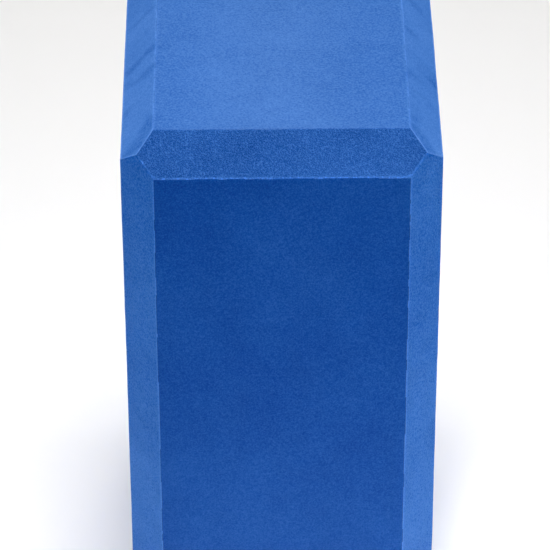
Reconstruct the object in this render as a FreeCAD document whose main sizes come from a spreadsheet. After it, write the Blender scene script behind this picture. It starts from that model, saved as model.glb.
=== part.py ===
"""A closed-cell foam yoga block with bevelled edges, standing on its end.

The frame is in millimetres: X runs through the block's thickness, Y along its
depth and Z along its height.  The origin is the middle of the face it stands on.
"""
import FreeCAD, Part
import os
import Sketcher

# Driving dimensions, in millimetres.
SIZES = {
    "width": 101.6,             # thickness of the foam, along X
    "depth": 152.4,             # along Y
    "height": 228.6,            # along Z
    "bevel_on_width": 10.6,     # how much of the width a bevel takes at each edge
    "bevel_on_depth": 11.3,     # how much of the depth
    "bevel_on_height": 11.1,    # how much of the height
    "edge_softening": 0.8,      # radius left on every edge of the cut foam
}

def make_sheet(doc):
    """Put the driving dimensions in a spreadsheet, one alias each."""
    sheet = doc.addObject("Spreadsheet::Sheet", "Sizes")
    for row, (name, value) in enumerate(SIZES.items(), start=1):
        sheet.set(f"A{row}", name)
        sheet.set(f"B{row}", str(value))
        sheet.setAlias(f"B{row}", name)
    doc.recompute()


def new_sketch(body, name, plane):
    """Add a sketch that lies on one of the body's own origin planes."""
    sketch = body.newObject("Sketcher::SketchObject", name)
    planes = {feature.Role: feature for feature in body.Origin.OriginFeatures}
    sketch.AttachmentSupport = (planes[plane], "")
    sketch.MapMode = "FlatFace"
    return sketch


def start_of(line):
    """A line's first point, as Sketcher numbers it."""
    return line, 1


def end_of(line):
    """A line's last point, as Sketcher numbers it."""
    return line, 2


def add_outline(sketch, points):
    """Draw a closed outline through the points and return its lines' numbers."""
    corners = [FreeCAD.Vector(x, y, 0) for x, y in points]
    lines = [sketch.addGeometry(Part.LineSegment(a, b), False)
             for a, b in zip(corners, corners[1:] + corners[:1])]
    for line, following in zip(lines, lines[1:] + lines[:1]):
        meeting = Sketcher.Constraint("Coincident", *end_of(line), *start_of(following))
        sketch.addConstraint(meeting)
    return lines


def add_size(sketch, direction, first, second, size):
    """Bind the distance between two points to a cell."""
    spread = sketch.getPoint(*second) - sketch.getPoint(*first)
    value = spread.x if direction == "DistanceX" else spread.y
    index = sketch.addConstraint(Sketcher.Constraint(direction, *first, *second, value))
    sketch.setExpression(f"Constraints[{index}]", f"<<Sizes>>.{size}")


def mirror_sideways(sketch, first, second):
    """Hold two points as mirror images about the sketch's upright axis, its number -2."""
    sketch.addConstraint(Sketcher.Constraint("Symmetric", *first, *second, -2))


def mirror_upwards(sketch, first, second):
    """Hold two points as mirror images about the axis across the sketch, its number -1."""
    sketch.addConstraint(Sketcher.Constraint("Symmetric", *first, *second, -1))


def slab_outline(body):
    """A rectangle centred on the origin: the foam before its edges are cut."""
    sketch = new_sketch(body, "slab_outline", "XY_Plane")
    x, y = SIZES["width"] / 2, SIZES["depth"] / 2
    front, right, back, left = add_outline(sketch, [(-x, -y), (x, -y), (x, y), (-x, y)])
    mirror_sideways(sketch, start_of(front), end_of(front))
    mirror_sideways(sketch, start_of(back), end_of(back))
    mirror_upwards(sketch, start_of(right), end_of(right))
    add_size(sketch, "DistanceX", start_of(front), end_of(front), "width")
    add_size(sketch, "DistanceY", start_of(right), end_of(right), "depth")
    return sketch


def bevel_waste(body, name, plane, across, up):
    """The four corner triangles that straight bevelling cuts take away.

    Each triangle has its right angle at a corner of the slab's rectangle in
    this plane.  The first is sized and the others mirror it.
    """
    sketch = new_sketch(body, name, plane)
    leg_across, leg_up = "bevel_on_" + across, "bevel_on_" + up
    x, y = SIZES[across] / 2, SIZES[up] / 2
    triangles = {}
    for side in (1, -1):
        for level in (1, -1):
            triangles[side, level] = add_outline(sketch, [
                (side * x, level * y),
                (side * (x - SIZES[leg_across]), level * y),
                (side * x, level * (y - SIZES[leg_up])),
            ])
    first = triangles[1, 1]
    corner, inboard, below = [start_of(line) for line in first]
    sketch.addConstraint(Sketcher.Constraint("Horizontal", first[0]))
    sketch.addConstraint(Sketcher.Constraint("Vertical", first[2]))
    add_size(sketch, "DistanceX", inboard, corner, leg_across)
    add_size(sketch, "DistanceY", below, corner, leg_up)
    for line, image in zip(first, triangles[-1, 1]):
        mirror_sideways(sketch, start_of(line), start_of(image))
    for side in (1, -1):
        for line, image in zip(triangles[side, 1], triangles[side, -1]):
            mirror_upwards(sketch, start_of(line), start_of(image))
    add_size(sketch, "DistanceX", start_of(triangles[-1, 1][0]), corner, across)
    add_size(sketch, "DistanceY", start_of(triangles[1, -1][0]), corner, up)
    return sketch


def cut_bevels(body, name, waste):
    """Cut a waste sketch right through the foam, to both sides of its plane."""
    before = body.Tip.Shape.Volume
    pocket = body.newObject("PartDesign::Pocket", name)
    pocket.Profile = waste
    pocket.SideType = "Symmetric"
    pocket.Type = "ThroughAll"
    body.Document.recompute()
    if not pocket.Shape.Volume < before:
        raise RuntimeError(f"{name} cut nothing")
    return pocket


def foam_block(doc):
    """One solid of foam: a slab whose twelve edges are bevelled by straight cuts.

    The bevels run the full length of their edges, so at every corner of the
    block three of them meet in a point, with mitred edges between them.
    """
    body = doc.addObject("PartDesign::Body", "foam_block")
    body.Label = "foam_block"
    outline = slab_outline(body)
    slab = body.newObject("PartDesign::Pad", "slab")
    slab.Profile = outline
    slab.SideType = "Symmetric"
    slab.setExpression("Length", "<<Sizes>>.height")
    doc.recompute()

    upright = bevel_waste(body, "upright_waste", "XY_Plane", "width", "depth")
    cut_bevels(body, "upright_bevels", upright)
    fore_and_aft = bevel_waste(body, "fore_and_aft_waste", "XZ_Plane", "width", "height")
    cut_bevels(body, "fore_and_aft_bevels", fore_and_aft)
    sideways = bevel_waste(body, "sideways_waste", "YZ_Plane", "depth", "height")
    all_bevels = cut_bevels(body, "sideways_bevels", sideways)

    soft_edges = body.newObject("PartDesign::Fillet", "soft_edges")
    soft_edges.Base = (all_bevels, [])
    soft_edges.UseAllEdges = True
    soft_edges.setExpression("Radius", "<<Sizes>>.edge_softening")

    body.setExpression(".Placement.Base.z", "<<Sizes>>.height / 2")
    return body


def check(doc, parts):
    """Stop with an error if anything in the document failed to build."""
    for item in doc.Objects:
        if {"Invalid", "Error"} & set(item.State):
            raise RuntimeError(f"{item.Name} is {item.State}")
    for part in parts:
        if part.Shape.isNull() or not part.Shape.isValid():
            raise RuntimeError(f"{part.Label} has no valid shape")
        if len(part.Shape.Solids) != 1:
            raise RuntimeError(f"{part.Label} is not one solid")


def main():
    doc = FreeCAD.newDocument("yoga_block")
    make_sheet(doc)
    parts = [foam_block(doc)]
    doc.recompute()
    check(doc, parts)
    os.makedirs("parts", exist_ok=True)
    for part in parts:
        part.Shape.exportStep(f"parts/{part.Label}.step")
        box = part.Shape.BoundBox
        print(f"{part.Label}: {box.XLength:.2f} x {box.YLength:.2f} x {box.ZLength:.2f} mm,"
              f" {part.Shape.Volume / 1000:.1f} cm3, {len(part.Shape.Faces)} faces")


main()
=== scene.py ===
import math

import bpy
import numpy as np
from bpy.props import FloatProperty, FloatVectorProperty, PointerProperty
from mathutils import Matrix, Vector


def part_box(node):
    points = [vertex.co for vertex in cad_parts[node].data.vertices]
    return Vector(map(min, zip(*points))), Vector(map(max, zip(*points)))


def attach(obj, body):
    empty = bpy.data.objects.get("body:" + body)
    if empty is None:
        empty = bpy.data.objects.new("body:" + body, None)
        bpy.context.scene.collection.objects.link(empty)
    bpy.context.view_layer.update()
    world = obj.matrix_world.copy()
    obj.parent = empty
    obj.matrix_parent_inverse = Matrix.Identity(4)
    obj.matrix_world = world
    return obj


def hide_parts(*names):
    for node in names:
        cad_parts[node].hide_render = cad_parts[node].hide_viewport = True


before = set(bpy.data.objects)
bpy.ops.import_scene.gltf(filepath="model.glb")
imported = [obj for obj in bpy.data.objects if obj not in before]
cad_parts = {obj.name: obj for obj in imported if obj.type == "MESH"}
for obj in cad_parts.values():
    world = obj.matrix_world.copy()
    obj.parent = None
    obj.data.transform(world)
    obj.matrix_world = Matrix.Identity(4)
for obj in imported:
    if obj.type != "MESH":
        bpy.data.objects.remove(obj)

bl_info = {
    "name": "Yoga block",
    "version": (1, 0, 0),
    "blender": (4, 5, 0),
    "location": "3D View > Sidebar > Yoga block",
    "description": "Models a closed-cell foam yoga block with bevelled edges, and a studio for it",
    "category": "Object",
}

NODE = "foam_block"
LOW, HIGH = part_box(NODE)
CENTRE = (LOW + HIGH) / 2
HALF = (HIGH - LOW) / 2
MM = 0.001

# Corners of the mesh that are nearer to each other than this are one corner.
SAME_PLACE = 0.01 * MM


def linear(hex_colour):
    """Turn an sRGB colour such as "2a5dac" into linear red, green and blue."""
    shares = [int(hex_colour[i:i + 2], 16) / 255 for i in (0, 2, 4)]
    return [s / 12.92 if s <= 0.04045 else ((s + 0.055) / 1.055) ** 2.4 for s in shares]


# ---------------------------------------------------------------- settings

def length(name, description, millimetres, most=1000.0):
    return FloatProperty(name=name, description=description, default=millimetres * MM,
                         min=0.0, max=most * MM, unit="LENGTH", subtype="DISTANCE", precision=5)


def angle(name, description, degrees):
    return FloatProperty(name=name, description=description, default=math.radians(degrees),
                         subtype="ANGLE", precision=3)


def colour(name, description, hex_colour):
    return FloatVectorProperty(name=name, description=description, size=3, subtype="COLOR",
                               default=linear(hex_colour), min=0.0, max=1.0)


def power(name, description, watts):
    return FloatProperty(name=name, description=description, default=watts, min=0.0,
                         unit="POWER", precision=3)


def choice(name, description, number):
    return FloatProperty(name=name, description=description, default=number)


class FoamSettings(bpy.types.PropertyGroup):
    """Sizes and colours of the foam block."""

    bevel_on_width: length("Bevel on width", "How much of the width a bevel takes", 10.6, 40)
    bevel_on_depth: length("Bevel on depth", "How much of the depth a bevel takes", 11.3, 40)
    bevel_on_height: length("Bevel on height", "How much of the height a bevel takes", 11.1, 40)
    edge_softening: length("Edge softening", "Width that each soft edge takes of a face", 0.35, 5)
    edge_turn: angle("Edge turn", "An edge that turns by more than this is softened", 30)
    face_grid: length("Face grid", "Coarse spacing of the mesh, which is then split in four", 5.6, 20)
    unevenness: length("Unevenness", "How much the cut faces wander in all", 0.3, 5)
    slow_wander: length("Slow wander", "Size of the slow part of that wander", 24, 100)
    quick_wander: length("Quick wander", "Size of the quick part of that wander", 4, 100)
    grain: length("Grain", "Size of the fine grain on every face", 0.5, 10)
    cell: length("Cell", "Size of the cells that the cuts open", 0.45, 10)
    relief: length("Relief", "How deep the grain and the cells are", 0.45, 5)
    bead: length("Bead", "Size of the beads along a ragged edge", 1.1, 10)
    smear_length: length("Smear length", "Length of the trimming knife's smears", 14, 100)
    smear_width: length("Smear width", "Width of the trimming knife's smears", 8, 100)
    cloud: length("Cloud", "Size of the sheet's largest clouds of paler foam", 45, 200)
    cloud_pattern: choice("Cloud pattern", "Which clouds the sheet shows", 85.0)
    smear_pattern: choice("Smear pattern", "Which smears the knife left", 5.0)
    # Painted bounce light: the uprights are paler towards the foot, as light from the floor makes them.
    foot_bounce_light_height: length("Foot rub", "Height at which the foot's rub has its given strength", 67)
    foot_bounce_light_gone: length("Foot rub gone", "Height at which the foot's rub has gone", 217)
    # Painted highlight along the middle of the ends and narrow faces.
    middle_highlight_reach: length("Middle rub", "How far the rub in the middle of a face reaches", 40)
    # These colours are partly painted light: each holds some of the light and shade that falls on its
    # kind of face.
    skin: colour("Skin", "Colour of the flat upright faces, cut along the sheet", "0051b4")
    open_cells: colour("Open cells", "Colour where the cut runs across the sheet", "0d4896")
    side_bevels: colour("Side bevels", "Colour of the upright bevels", "337dea")
    end_bevels: colour("End bevels", "Colour of the bevels beside the two ends", "3d6ab6")
    ends: colour("Ends", "Colour of the two ends", "325da1")
    cell_walls: colour("Cell walls", "Colour of the walls between the cells", "4090ff")
    # Wear and painted light both move the colour towards this one: the fluff in the grain, the foot's
    # painted bounce light and the middle's painted highlight.
    wear_and_light: colour("Worn foam", "Colour that rubbed foam goes towards", "9dc4f5")
    nap: colour("Nap", "Colour of the fine nap, seen at a slant", "50b6ff")


class StageSettings(bpy.types.PropertyGroup):
    """The camera, floor and lights."""

    camera_left: length("Camera left", "How far the camera stands to the left", 9.6)
    camera_front: length("Camera in front", "How far it stands in front of the block", 928.5)
    camera_above: length("Camera above", "How far it stands above the block's top", 623.7)
    camera_pitch: angle("Camera pitch", "How far it looks down", 35.882)
    camera_yaw: angle("Camera yaw", "How far it turns to the right", 0.450)
    camera_roll: angle("Camera roll", "How far it leans over", -0.157)
    camera_lens: FloatProperty(name="Camera lens", description="Focal length in millimetres",
                               default=236.4, min=10, max=500, unit="CAMERA")
    floor_size: length("Floor size", "Length of the square floor's sides", 8000, 20000)
    floor_colour: colour("Floor", "Colour of the floor", "f4f3f2")
    room_light: FloatProperty(name="Room light", description="Strength of the light from all around",
                              default=0.1, min=0, max=5)
    left_power: power("Left", "Power of the soft box at the left", 5.94)
    right_power: power("Right", "Power of the soft box at the right", 7.45)
    back_power: power("Back", "Power of the soft box at the back", 11.2)
    high_back_power: power("High back", "Power of the soft box high at the back", 8.76)
    overhead_power: power("Overhead", "Power of the soft box over the block", 1.22)
    front_floor_power: power("Floor in front", "Power of the soft box over the floor in front", 0.843)
    right_floor_power: power("Floor at right", "Power of the soft box over the floor at the right", 1.83)


# ---------------------------------------------------------------- small tools

def add_node(tree, kind, inputs=(), **settings):
    """Add a node, set its own settings, and set or link its inputs."""
    node = tree.nodes.new(kind)
    for name, value in settings.items():
        setattr(node, name, value)
    for socket, value in dict(inputs).items():
        if isinstance(value, bpy.types.NodeSocket):
            tree.links.new(value, node.inputs[socket])
        else:
            node.inputs[socket].default_value = value
    return node


def deselect_everything():
    bpy.ops.object.select_all(action="DESELECT")


def note(mesh, name, domain, values):
    """Keep a number for each face or corner under a name that the material reads."""
    mesh.attributes.new(name, "FLOAT", domain).data.foreach_set("value", values.astype(np.float32))


# ---------------------------------------------------------------- the block's shape

def bevel_planes(foam):
    """The twelve cutting planes, each a point on it and its outward normal."""
    legs = (foam.bevel_on_width, foam.bevel_on_depth, foam.bevel_on_height)
    planes = []
    for one, other in ((0, 1), (0, 2), (1, 2)):
        for side in (-1, 1):
            for level in (-1, 1):
                point = CENTRE.copy()
                point[one] += side * HALF[one]
                point[other] += level * (HALF[other] - legs[other])
                normal = Vector((0, 0, 0))
                normal[one] = side * legs[other]
                normal[other] = level * legs[one]
                planes.append((point, normal.normalized()))
    return planes


def face_planes():
    """The six faces of the uncut block, each a point on it and its outward normal."""
    planes = []
    for axis in range(3):
        for side in (-1, 1):
            normal = Vector((0, 0, 0))
            normal[axis] = side
            planes.append((CENTRE + HALF[axis] * normal, normal))
    return planes


def cut(point, normal, trim):
    """Slice the mesh along a plane, and with trim throw away what lies outside it."""
    bpy.ops.mesh.select_all(action="SELECT")
    bpy.ops.mesh.bisect(plane_co=point, plane_no=normal, use_fill=trim, clear_outer=trim)


def grid_levels(half, leg, foam):
    """Where the mesh is sliced along one axis, measured from the middle.

    The flat of a face gets an even grid, and each bevel one slice at its start and one in its middle.
    """
    flat = half - leg
    steps = round(2 * flat / foam.face_grid)
    levels = [flat * (2 * i / steps - 1) for i in range(1, steps)]
    return levels + [flat, -flat, flat + leg / 2, -flat - leg / 2]


def carve_block(foam):
    """A block of foam trimmed by twelve straight cuts, then sliced into a mesh."""
    deselect_everything()
    bpy.ops.mesh.primitive_cube_add(size=1, location=CENTRE, scale=2 * HALF)
    block = bpy.context.object
    block.name = block.data.name = "bevelled_foam"
    bpy.ops.object.transform_apply(location=True, rotation=True, scale=True)
    bpy.ops.object.mode_set(mode="EDIT")
    for point, normal in bevel_planes(foam):
        cut(point, normal, trim=True)
    legs = (foam.bevel_on_width, foam.bevel_on_depth, foam.bevel_on_height)
    for axis in range(3):
        normal = Vector((0, 0, 0))
        normal[axis] = 1
        for level in grid_levels(HALF[axis], legs[axis], foam):
            cut(CENTRE + level * normal, normal, trim=False)
    bpy.ops.mesh.select_all(action="SELECT")
    bpy.ops.mesh.remove_doubles(threshold=SAME_PLACE)
    bpy.ops.mesh.normals_make_consistent(inside=False)
    bpy.ops.object.mode_set(mode="OBJECT")
    return block


def apply(block, name, kind, **settings):
    """Give the block a modifier and apply it."""
    modifier = block.modifiers.new(name, kind)
    for setting, value in settings.items():
        setattr(modifier, setting, value)
    bpy.ops.object.modifier_apply(modifier=modifier.name)


def roughen(block, foam):
    """Split the mesh finely, and let its faces wander as sawn foam does."""
    apply(block, "fine mesh", "SUBSURF", subdivision_type="SIMPLE", levels=2, render_levels=2)
    for name, size, portion in (("slow wander", foam.slow_wander, 0.6),
                                ("quick wander", foam.quick_wander, 0.4)):
        clouds = bpy.data.textures.new(name, "CLOUDS")
        clouds.noise_scale = size
        apply(block, name, "DISPLACE", texture=clouds, texture_coords="LOCAL", mid_level=0.5,
              strength=portion * foam.unevenness)


def soften_edges(block, foam):
    """Round every edge that turns by more than the wander of a face does."""
    bpy.ops.object.shade_smooth()
    apply(block, "soft edges", "BEVEL", width=foam.edge_softening, segments=3,
          limit_method="ANGLE", angle_limit=foam.edge_turn, harden_normals=True)


# ---------------------------------------------------------------- the block's finish

# X and Y are the upright faces, Z the ends, and two letters are the bevel between them.
FACES = ("X", "X", "Y", "Y", "Z", "Z") + ("XY",) * 4 + ("XZ",) * 4 + ("YZ",) * 4

# The colour setting that each kind of face starts from.  The colours differ partly as the foam does
# where it is cut, and partly as painted light: each holds some of the light and shade that falls on its
# kind of face, so the ends are paler and the upright bevels brighter.
COLOURS = {"X": "skin", "Y": "skin", "Z": "ends",
           "XY": "side_bevels", "XZ": "end_bevels", "YZ": "open_cells"}

# How much of each effect a kind of face gets. What is not listed gets none.
FINISH = {
    "pebbles": {"YZ": 1},
    "grain": {"X": 0.66, "Y": 0.66, "Z": 0.18, "XY": 2.75, "XZ": 0.19, "YZ": 0.22},
    "coarseness": {"X": 1, "Y": 1, "Z": 1.3, "XY": 1.2, "XZ": 1.3, "YZ": 1},
    "clouds": {"X": 1.25, "Y": 1.25, "Z": 0.42, "XY": 5, "XZ": 0.95, "YZ": 1.3},
    "smears": {"X": 0.13, "Y": 0.13, "Z": 0.13, "XY": 2.0, "XZ": 0.8, "YZ": 0.13},
    "upright_bevel": {"XY": 1},
    # How much of the grain is pale fluff, and not cell walls.
    "fluff": {"X": 0.34, "Y": 0.34, "Z": 2.3, "XY": 0.35, "XZ": 2.8, "YZ": 0.35},
    # Painted light: the uprights pale towards the foot, as bounce light from the floor makes them, and a
    # painted highlight pales the middle of the ends and narrow faces.
    "foot_bounce_light": {"X": 0.051, "Y": 0.051, "XY": 0.147},
    "middle_highlight": {"Z": 0.032, "Y": 0.003},
}

# How pale the first face is along the edge where it meets the second: partly rubbed foam, partly a
# painted highlight where the edge catches the light.  A value below zero makes it darker.
EDGE_WEAR_AND_HIGHLIGHT = {
    ("YZ", "Y"): 0.85,     # ragged, where the saw left the sheet
    ("YZ", "XY"): 0.6,
    ("XY", "Y"): 1.4,
    ("XY", "X"): 0.36,
    ("XY", "XZ"): -0.3,    # a dark line along this edge
    ("XZ", "YZ"): 0.27,
    ("XZ", "XY"): 0.2,
    ("XZ", "Z"): 0.13,
    ("XZ", "X"): 0.34,
    ("Z", "XZ"): 0.06,
}

# How far each pattern moves a face's colour towards that of the cell walls, or away from it.
GRAIN_DEPTH = 0.165
CELL_DEPTH = 0.135
CLOUD_DEPTH = 0.07
SMEAR_DEPTH = 0.1

# Nearly all of a noise lies between these two values.
NOISE_LOW, NOISE_HIGH = 0.3, 0.7

# How far from its middle a cell is darkest and palest, as a share of its size.
HOLLOW, WALL = 0.15, 0.95

# A smear is where its noise is below this.
SMEAR_END = 0.46

# A bead begins where its noise is above the first of these, and is full at the second.
BEAD_START, BEAD_FULL = 0.5, 0.62

# How strong a pale edge line, of wear and painted highlight, is between the beads of a ragged edge, and
# all along a plain one.
BETWEEN_BEADS, PLAIN_EDGE = 0.4, 0.7

# A pale edge line has this strength, out to the first distance from the edge, and is gone at the second.
LINE_STRENGTH = 0.8
LINE_FULL, LINE_GONE = 0.3, 0.8     # millimetres

# The share of the slow patterns, against the fine ones, in what makes fluff.
SLOW_FLUFF = 0.35

# How far the smears are turned from the block's own directions.
SMEAR_SLANT = math.radians(10)


def mark_faces(block, foam):
    """Note what the finish depends on: each face's kind, and how near its corners are to an edge."""
    mesh = block.data
    planes = face_planes() + bevel_planes(foam)
    normals = np.array([normal for point, normal in planes])
    offsets = np.array([point.dot(normal) for point, normal in planes])

    facing = np.empty((len(mesh.polygons), 3))
    mesh.polygons.foreach_get("normal", facing.ravel())
    own = (facing @ normals.T).argmax(axis=1)
    kinds = [FACES[plane] for plane in own]
    for effect, shares in FINISH.items():
        note(mesh, effect, "FACE", np.array([shares.get(kind, 0) for kind in kinds]))
    # Each face starts from its kind's colour, which holds some painted light and shade.
    start = np.array([(*getattr(foam, COLOURS[kind]), 1) for kind in kinds], dtype=np.float32)
    mesh.attributes.new("start_colour", "FLOAT_COLOR", "FACE").data.foreach_set("color", start.ravel())

    places = np.empty((len(mesh.vertices), 3))
    mesh.vertices.foreach_get("co", places.ravel())
    points = np.empty(len(mesh.loops), dtype=int)
    mesh.loops.foreach_get("vertex_index", points)
    sides = np.empty(len(mesh.polygons), dtype=int)
    mesh.polygons.foreach_get("loop_total", sides)

    # How far each corner of a face is from the face's edges: to the plane beyond, along the face.
    own = np.repeat(own, sides)
    slant = np.sqrt(np.clip(1 - (normals @ normals.T) ** 2, 1e-9, 1))
    distance = (offsets - places[points] @ normals.T) / slant[own]
    distance[np.arange(len(own)), own] = np.inf
    nearest = distance.argmin(axis=1)
    # How pale each edge line is: wear, and a painted highlight.
    wear_and_highlight = np.array([[EDGE_WEAR_AND_HIGHLIGHT.get((one, other), 0) for other in FACES] for one in FACES])
    note(mesh, "edge_distance", "CORNER", distance.min(axis=1) / MM)
    note(mesh, "edge_wear_and_highlight", "CORNER", wear_and_highlight[own, nearest])


def eva_foam(foam):
    """Closed-cell EVA foam, sawn from a thick sheet.

    It is dead matt, with a fine nap that pales at a slant.  Cuts across the sheet
    open its cells, which look pebbled.  The bevels keep smears of the trimming
    knife.  Rubbed edges are paler, partly wear and partly a painted highlight, and
    beaded where cells are open.  Painted light pales the uprights towards the foot
    and the middle of a face, and each kind of face has a colour that holds some
    painted light and shade.
    """
    material = bpy.data.materials.new("Sawn EVA foam")
    material.use_nodes = True
    tree = material.node_tree
    tree.nodes.clear()

    place = add_node(tree, "ShaderNodeTexCoord").outputs["Object"]
    marks = {name: add_node(tree, "ShaderNodeAttribute", attribute_name=name).outputs["Fac"]
             for name in (*FINISH, "edge_distance", "edge_wear_and_highlight")}
    start = add_node(tree, "ShaderNodeAttribute", attribute_name="start_colour").outputs["Color"]
    most_noise = {"From Min": NOISE_LOW, "From Max": NOISE_HIGH}

    # Fine grain.  The foam's cells are about 0.2 mm, and are drawn as coarse as they need to show.
    fineness = add_node(tree, "ShaderNodeMath", {0: 1 / foam.grain, 1: marks["coarseness"]},
                        operation="DIVIDE").outputs[0]
    grain = add_node(tree, "ShaderNodeTexNoise", {
        "Vector": place, "Scale": fineness, "Detail": 2.0, "Roughness": 0.7}).outputs["Fac"]
    grain = add_node(tree, "ShaderNodeMapRange", {
        "Value": grain, **most_noise, "To Min": -GRAIN_DEPTH, "To Max": GRAIN_DEPTH},
        clamp=False).outputs["Result"]
    grain = add_node(tree, "ShaderNodeMath", {0: grain, 1: marks["grain"]},
                     operation="MULTIPLY").outputs[0]

    # Open cells: pale walls round dark hollows, drawn as coarse as the grain is.
    cells = add_node(tree, "ShaderNodeTexVoronoi", {
        "Vector": place, "Scale": 1 / foam.cell, "Detail": 1.0, "Roughness": 0.6,
        "Randomness": 1.0}).outputs["Distance"]
    cells = add_node(tree, "ShaderNodeMapRange", {
        "Value": cells, "From Min": HOLLOW, "From Max": WALL,
        "To Min": -CELL_DEPTH, "To Max": CELL_DEPTH},
        clamp=False).outputs["Result"]
    coarse = add_node(tree, "ShaderNodeMath", {0: cells, 1: marks["pebbles"], 2: grain},
                      operation="MULTIPLY_ADD").outputs[0]

    # Clouds: slow changes of density in the sheet.
    clouds = add_node(tree, "ShaderNodeTexNoise", {
        "Vector": place, "W": foam.cloud_pattern, "Scale": 1 / foam.cloud, "Detail": 6.0,
        "Roughness": 0.72}, noise_dimensions="4D").outputs["Fac"]
    clouds = add_node(tree, "ShaderNodeMapRange", {
        "Value": clouds, **most_noise, "To Min": -CLOUD_DEPTH, "To Max": CLOUD_DEPTH},
        clamp=False).outputs["Result"]
    clouds = add_node(tree, "ShaderNodeMath", {0: clouds, 1: marks["clouds"]},
                      operation="MULTIPLY").outputs[0]

    # Smears of the trimming knife, which run slantwise across the bevels.
    long, narrow = foam.smear_length, foam.smear_width
    stretch = add_node(tree, "ShaderNodeMix", {
        "Factor": marks["upright_bevel"], "A": (long, narrow, long), "B": (long, long, narrow)},
        data_type="VECTOR").outputs["Result"]
    along = add_node(tree, "ShaderNodeMapping", {
        "Vector": place, "Rotation": (SMEAR_SLANT,) * 3, "Scale": stretch},
        vector_type="TEXTURE").outputs["Vector"]
    smears = add_node(tree, "ShaderNodeTexNoise", {
        "Vector": along, "W": foam.smear_pattern, "Scale": 1.0, "Detail": 1.0,
        "Roughness": 0.5}, noise_dimensions="4D").outputs["Fac"]
    smears = add_node(tree, "ShaderNodeMapRange", {
        "Value": smears, "From Min": NOISE_LOW, "From Max": SMEAR_END,
        "To Min": -SMEAR_DEPTH, "To Max": 0.0}).outputs["Result"]
    slow = add_node(tree, "ShaderNodeMath", {0: smears, 1: marks["smears"], 2: clouds},
                    operation="MULTIPLY_ADD").outputs[0]

    # Pale lines along the edges, partly rubbed foam and partly a painted highlight where the edge
    # catches the light, beaded where whole cells were torn open.
    bead = add_node(tree, "ShaderNodeTexNoise", {
        "Vector": place, "Scale": 1 / foam.bead, "Detail": 1.0}).outputs["Fac"]
    bead = add_node(tree, "ShaderNodeMapRange", {
        "Value": bead, "From Min": BEAD_START, "From Max": BEAD_FULL,
        "To Min": BETWEEN_BEADS, "To Max": 1.0}).outputs["Result"]
    bead = add_node(tree, "ShaderNodeMix", {
        "Factor": marks["pebbles"], "A": PLAIN_EDGE, "B": bead}, data_type="FLOAT").outputs["Result"]
    line = add_node(tree, "ShaderNodeMapRange", {
        "Value": marks["edge_distance"], "From Min": LINE_FULL, "From Max": LINE_GONE,
        "To Min": LINE_STRENGTH, "To Max": 0.0}).outputs["Result"]
    line = add_node(tree, "ShaderNodeMath", {0: line, 1: bead}, operation="MULTIPLY").outputs[0]
    slow = add_node(tree, "ShaderNodeMath", {0: line, 1: marks["edge_wear_and_highlight"], 2: slow},
                    operation="MULTIPLY_ADD").outputs[0]

    # All of it lightens the face towards the colour of the cell walls, or darkens it.
    pale = add_node(tree, "ShaderNodeMath", {0: coarse, 1: slow}, operation="ADD").outputs[0]
    grainy = add_node(tree, "ShaderNodeMix", {
        "Factor": pale, "A": start, "B": (*foam.cell_walls, 1)},
        data_type="RGBA", clamp_factor=False, clamp_result=True).outputs["Result"]

    # Paler still go the fluff in the grain, which is wear, and painted light.  The foot's painted bounce
    # light goes on growing down to the floor, and turns to a slight painted shade above the height where
    # it ends; the middle of a face gets a painted highlight.
    parts = add_node(tree, "ShaderNodeSeparateXYZ", {"Vector": place})
    # Painted bounce light, paler towards the foot.
    foot = add_node(tree, "ShaderNodeMapRange", {
        "Value": parts.outputs["Z"], "From Min": foam.foot_bounce_light_height, "From Max": foam.foot_bounce_light_gone,
        "To Min": 1.0, "To Max": 0.0}, clamp=False).outputs["Result"]
    foot = add_node(tree, "ShaderNodeMath", {0: foot, 1: marks["foot_bounce_light"]},
                    operation="MULTIPLY").outputs[0]
    # Painted highlight along the middle of a face.
    reach = add_node(tree, "ShaderNodeMath", {0: parts.outputs["X"]}, operation="ABSOLUTE").outputs[0]
    middle = add_node(tree, "ShaderNodeMapRange", {
        "Value": reach, "From Min": 0.0, "From Max": foam.middle_highlight_reach,
        "To Min": 1.0, "To Max": 0.0},
        interpolation_type="SMOOTHSTEP").outputs["Result"]
    wear_and_light = add_node(tree, "ShaderNodeMath", {0: middle, 1: marks["middle_highlight"], 2: foot},
                    operation="MULTIPLY_ADD").outputs[0]
    fluff = add_node(tree, "ShaderNodeMath", {0: slow, 1: SLOW_FLUFF, 2: coarse},
                     operation="MULTIPLY_ADD").outputs[0]
    # The fluff's wear joins the painted light.
    wear_and_light = add_node(tree, "ShaderNodeMath", {0: fluff, 1: marks["fluff"], 2: wear_and_light},
                    operation="MULTIPLY_ADD").outputs[0]
    body = add_node(tree, "ShaderNodeMix", {
        "Factor": wear_and_light, "A": grainy, "B": (*foam.wear_and_light, 1)},
        data_type="RGBA", clamp_factor=False, clamp_result=True).outputs["Result"]

    # The grain stands out a little.  EVA's own IOR is 1.49, but torn foam has hardly any gloss.
    bump = add_node(tree, "ShaderNodeBump", {
        "Height": coarse, "Distance": foam.relief, "Strength": 1.0})
    shader = add_node(tree, "ShaderNodeBsdfPrincipled", {
        "Base Color": body, "Roughness": 0.9, "IOR": 1.49, "Specular IOR Level": 0.1,
        "Sheen Weight": 0.21, "Sheen Roughness": 0.6, "Sheen Tint": (*foam.nap, 1),
        "Normal": bump.outputs["Normal"]})
    add_node(tree, "ShaderNodeOutputMaterial", {"Surface": shader.outputs["BSDF"]})
    return material


class YOGA_OT_foam_block(bpy.types.Operator):
    """Model the bevelled foam block"""

    bl_idname = "yoga.foam_block"
    bl_label = "Model the foam block"

    def execute(self, context):
        foam = context.scene.foam_settings
        block = carve_block(foam)
        roughen(block, foam)
        soften_edges(block, foam)
        mark_faces(block, foam)
        block.data.materials.append(eva_foam(foam))
        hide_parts(NODE)
        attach(block, "root")
        return {"FINISHED"}


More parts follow.
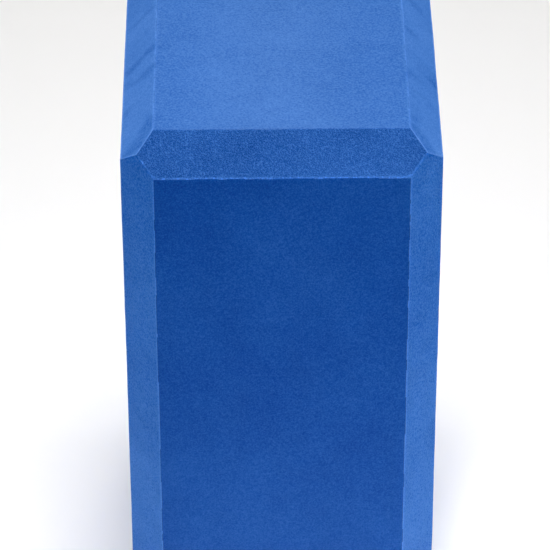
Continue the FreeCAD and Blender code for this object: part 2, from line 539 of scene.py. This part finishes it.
# ---------------------------------------------------------------- the stage

def pale_floor(stage):
    """A smooth painted floor: matt, with no pattern of its own."""
    material = bpy.data.materials.new("Pale painted floor")
    material.use_nodes = True
    shader = material.node_tree.nodes["Principled BSDF"]
    shader.inputs["Base Color"].default_value = (*stage.floor_colour, 1)
    shader.inputs["Roughness"].default_value = 0.9
    shader.inputs["Specular IOR Level"].default_value = 0.0
    return material


def soft_box(name, place, target, width, height, watts, spread=180):
    """A lamp of this width and height that faces a target, and shines over this spread in degrees."""
    lamp = bpy.data.lights.new(name, "AREA")
    lamp.shape = "RECTANGLE"
    lamp.size = width
    lamp.size_y = height
    lamp.energy = watts
    lamp.spread = math.radians(spread)
    box = bpy.data.objects.new(name, lamp)
    bpy.context.collection.objects.link(box)
    box.location = place
    box.rotation_euler = (Vector(target) - Vector(place)).to_track_quat("-Z", "Y").to_euler()
    box.visible_camera = False
    return box


def light_block(stage):
    """Large soft boxes at the sides and the back, and smaller ones over the block and the floor.

    Places are in metres, and start from the block's own faces.
    """
    front, right, top = LOW.y, HIGH.x, HIGH.z
    for name, side, watts in (("left", -1, stage.left_power), ("right", 1, stage.right_power)):
        soft_box(name, place=(side * 1.638, 0, top + 1.038), target=CENTRE,
                 width=1.0, height=1.0, watts=watts)
    soft_box("back", place=(0, 1.6, top + 0.32), target=(0, 0, top),
             width=1.6, height=0.5, watts=stage.back_power)
    soft_box("high_back", place=(0, 1.2, top + 1.57), target=CENTRE,
             width=1.6, height=0.6, watts=stage.high_back_power)
    soft_box("overhead", place=(0, 0, top + 0.97), target=(0, 0, top),
             width=0.4, height=0.4, watts=stage.overhead_power, spread=60)
    soft_box("floor_in_front", place=(0, front - 0.304, 0.9), target=(0, front - 0.254, 0),
             width=0.7, height=0.3, watts=stage.front_floor_power, spread=48)
    beside = (right + 0.169, front - 0.024)
    soft_box("floor_at_right", place=(*beside, 0.9), target=(*beside, 0),
             width=0.1, height=0.2, watts=stage.right_floor_power, spread=18)


def set_camera(stage):
    """A camera before the block and above it, that looks down on its front and its top end."""
    lens = bpy.data.cameras.new("camera")
    lens.lens = stage.camera_lens
    camera = bpy.data.objects.new("camera", lens)
    bpy.context.collection.objects.link(camera)
    place = Vector((-stage.camera_left, LOW.y - stage.camera_front, HIGH.z + stage.camera_above))
    camera.matrix_world = (Matrix.Translation(place)
                           @ Matrix.Rotation(-stage.camera_yaw, 4, "Z")
                           @ Matrix.Rotation(math.pi / 2 - stage.camera_pitch, 4, "X")
                           @ Matrix.Rotation(stage.camera_roll, 4, "Z"))
    bpy.context.scene.camera = camera


class YOGA_OT_stage(bpy.types.Operator):
    """Set up the floor, the lights and the camera"""

    bl_idname = "yoga.stage"
    bl_label = "Set up the stage"

    def execute(self, context):
        stage = context.scene.stage_settings
        deselect_everything()
        bpy.ops.mesh.primitive_plane_add(size=stage.floor_size, location=(0, 0, LOW.z))
        floor = context.object
        floor.name = "floor"
        floor.data.materials.append(pale_floor(stage))

        world = bpy.data.worlds.new("room")
        context.scene.world = world
        world.use_nodes = True
        world.node_tree.nodes["Background"].inputs["Color"].default_value = (1, 1, 1, 1)
        world.node_tree.nodes["Background"].inputs["Strength"].default_value = stage.room_light

        light_block(stage)
        set_camera(stage)
        context.scene.view_settings.view_transform = "Standard"
        return {"FINISHED"}


# ---------------------------------------------------------------- the add-on

class YOGA_PT_panel(bpy.types.Panel):
    """Lists the block's settings and the steps that make it"""

    bl_idname = "YOGA_PT_panel"
    bl_label = "Yoga block"
    bl_space_type = "VIEW_3D"
    bl_region_type = "UI"
    bl_category = "Yoga block"

    def draw(self, context):
        for operator, settings in ((YOGA_OT_foam_block, context.scene.foam_settings),
                                   (YOGA_OT_stage, context.scene.stage_settings)):
            box = self.layout.box()
            box.operator(operator.bl_idname)
            for name in settings.__annotations__:
                box.prop(settings, name)


CLASSES = (FoamSettings, StageSettings, YOGA_OT_foam_block, YOGA_OT_stage, YOGA_PT_panel)


def register():
    for item in CLASSES:
        bpy.utils.register_class(item)
    bpy.types.Scene.foam_settings = PointerProperty(type=FoamSettings)
    bpy.types.Scene.stage_settings = PointerProperty(type=StageSettings)


def unregister():
    del bpy.types.Scene.stage_settings
    del bpy.types.Scene.foam_settings
    for item in reversed(CLASSES):
        bpy.utils.unregister_class(item)


def main():
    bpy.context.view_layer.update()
    register()
    bpy.ops.yoga.foam_block()
    bpy.ops.yoga.stage()


if __name__ == "__main__":
    main()
